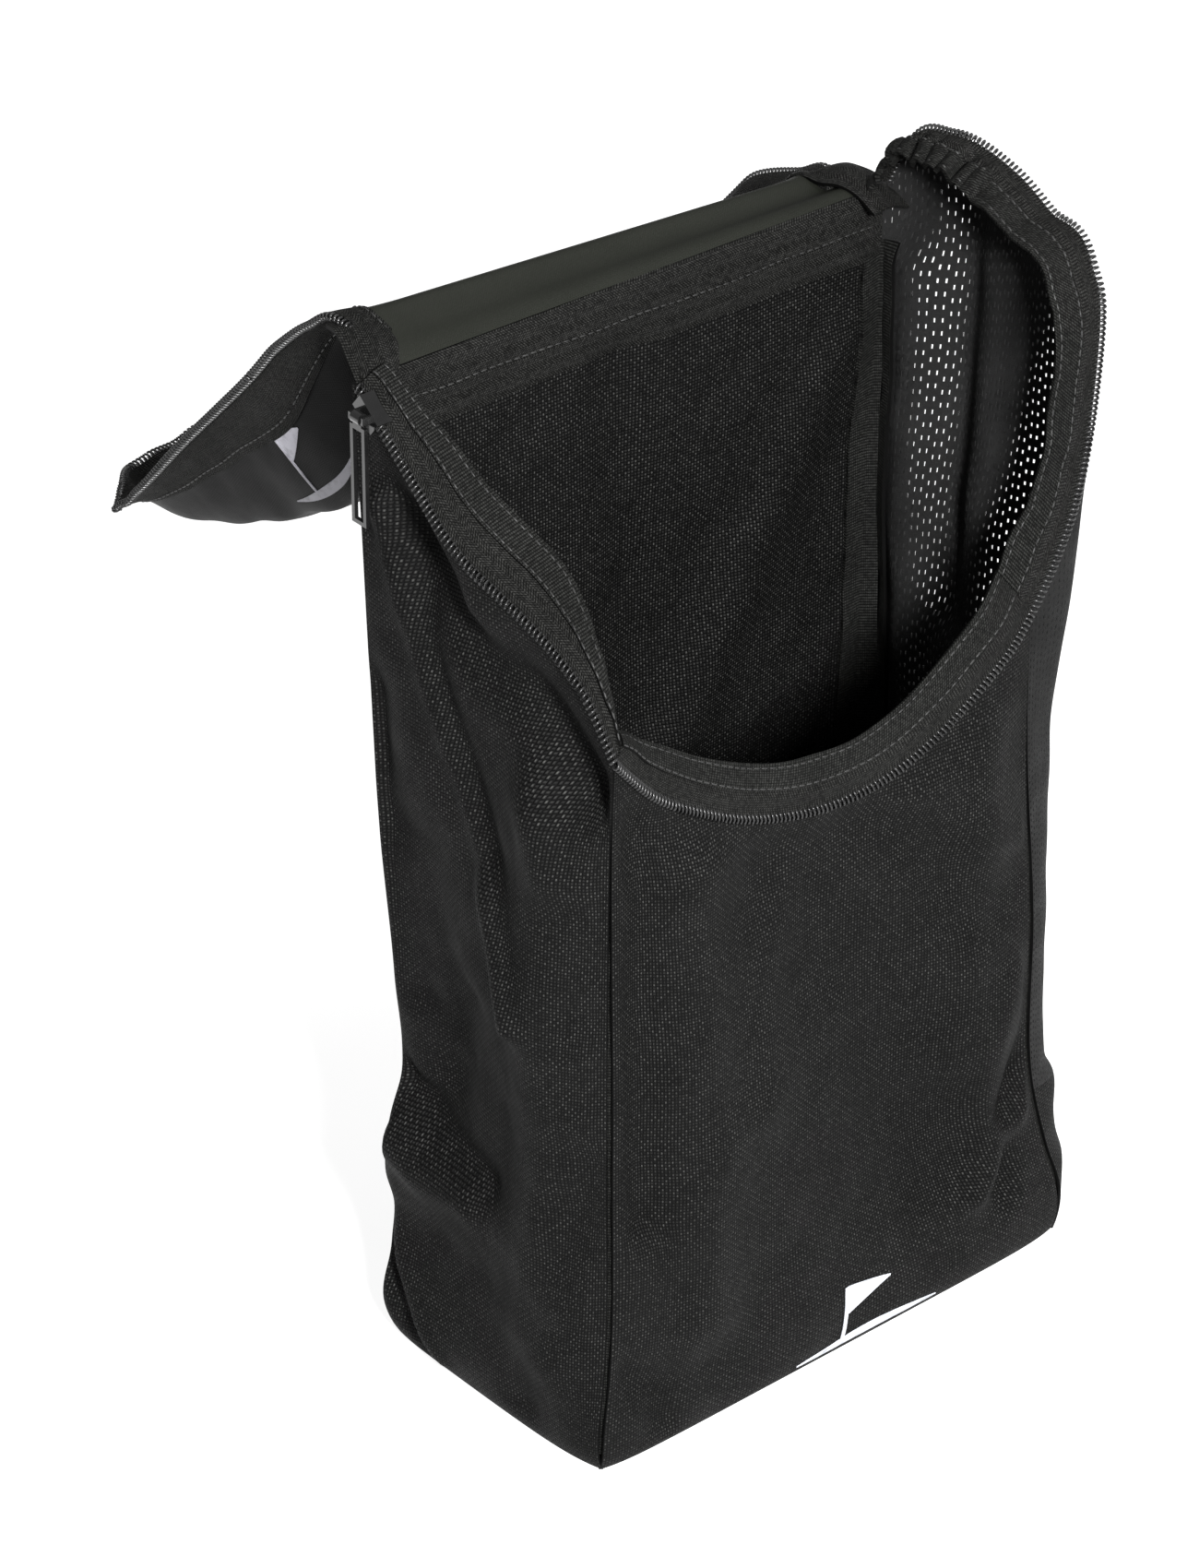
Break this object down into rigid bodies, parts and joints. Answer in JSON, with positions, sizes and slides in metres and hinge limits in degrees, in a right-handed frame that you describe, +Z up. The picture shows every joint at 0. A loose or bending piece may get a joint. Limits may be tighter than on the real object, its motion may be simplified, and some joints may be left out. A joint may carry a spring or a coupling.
{
  "type": "golf shoe bag",
  "caption": "Soft zip-top bag for a pair of golf shoes, standing open, with a long U-ended zip flap hanging back and a mesh side panel.",
  "frame": {"origin": "centre of the base, on the surface that the bag stands on", "axes": "+Z up, -Y towards the front panel, -X towards the bag's left side"},
  "size_m": [0.2261, 0.2822, 0.3834],
  "materials": {
    "woven_fabric": "matt near-black plain-weave polyester with faint glints",
    "coated_fabric": "smooth coated cloth, dark olive grey inside and black outside",
    "spacer_mesh": "open knitted mesh with rows of small holes",
    "binding_tape": "ribbed black binding tape",
    "zip_tape": "black herringbone zip tape",
    "zip_coil": "black nylon coil with a slight shine",
    "slider_enamel": "gloss black enamel on die-cast metal",
    "white_print": "cool white screen print",
    "grey_print": "grey screen print"
  },
  "bodies": {
    "bag_body": {"front_panel": "woven_fabric", "left_side_panel": "woven_fabric", "right_mesh_panel": "spacer_mesh", "right_lower_panel": "woven_fabric", "back_panel": "woven_fabric", "bottom_panel": "woven_fabric", "front_left_seam_binding": "binding_tape", "front_right_seam_binding": "binding_tape", "back_left_seam_binding": "binding_tape", "back_right_seam_binding": "binding_tape", "bottom_seam_binding": "binding_tape", "mesh_seam_binding": "binding_tape", "hinge_tape": "zip_tape", "left_zip_tape": "zip_tape", "front_zip_tape": "zip_tape", "right_zip_tape": "zip_tape", "left_zip_coil": "zip_coil", "front_zip_coil": "zip_coil", "right_zip_coil": "zip_coil", "zip_end_covers": "zip_tape", "front_mark": "white_print"},
    "left_corner": {"left_corner_tape": "zip_tape"},
    "right_lip": {"right_lip_tape": "zip_tape"},
    "flap_root": {"flap_root_panel": "coated_fabric"},
    "flap_top": {"flap_top_panel": "coated_fabric", "flap_side_zip_tapes": "zip_tape", "flap_side_zip_coils": "zip_coil"},
    "flap_tongue": {"flap_tongue_panel": "coated_fabric", "tongue_zip_tape": "zip_tape", "tongue_zip_coil": "zip_coil", "flap_mark": "grey_print"},
    "slider": {"slider_body": "slider_enamel", "slider_bridge": "slider_enamel"},
    "puller": {"pull_loop": "slider_enamel"}
  },
  "joints": [
    {"name": "flap_hinge", "type": "hinge", "parent": "bag_body", "child": "flap_root", "pos_m": [0, 0.0515, 0.355], "axis": [1, 0, 0], "range_deg": [0, 150]},
    {"name": "flap_ridge", "type": "hinge", "parent": "flap_root", "child": "flap_top", "pos_m": [0, 0.07575, 0.369], "axis": [1, 0, 0], "range_deg": [0, 94.5]},
    {"name": "tongue_fold", "type": "hinge", "parent": "flap_top", "child": "flap_tongue", "pos_m": [0, 0.10863, 0.30159], "axis": [1, 0, 0], "range_deg": [-20, 54]},
    {"name": "left_corner_lift", "type": "slide", "parent": "bag_body", "child": "left_corner", "axis": [0, 0, 1], "range_m": [0, 0.0785]},
    {"name": "right_lip_sink", "type": "slide", "parent": "bag_body", "child": "right_lip", "axis": [-0.1758, 0, -0.9844], "range_m": [0, 0.02894]},
    {"name": "slider_travel", "type": "slide", "parent": "bag_body", "child": "slider", "axis": [0, -0.774, -0.6332], "range_m": [0, 0.036]},
    {"name": "puller_swing", "type": "hinge", "parent": "slider", "child": "puller", "pos_m": [-0.114, 0.04581, 0.34793], "axis": [0, 1, 0], "range_deg": [-2, 150]}
  ],
  "couplings": [
    {"joint": "flap_ridge", "follows": "flap_hinge", "ratio": 0.62667},
    {"joint": "left_corner_lift", "follows": "flap_hinge", "m_per_rad": 0.029794},
    {"joint": "right_lip_sink", "follows": "flap_hinge", "m_per_rad": 0.010864}
  ]
}
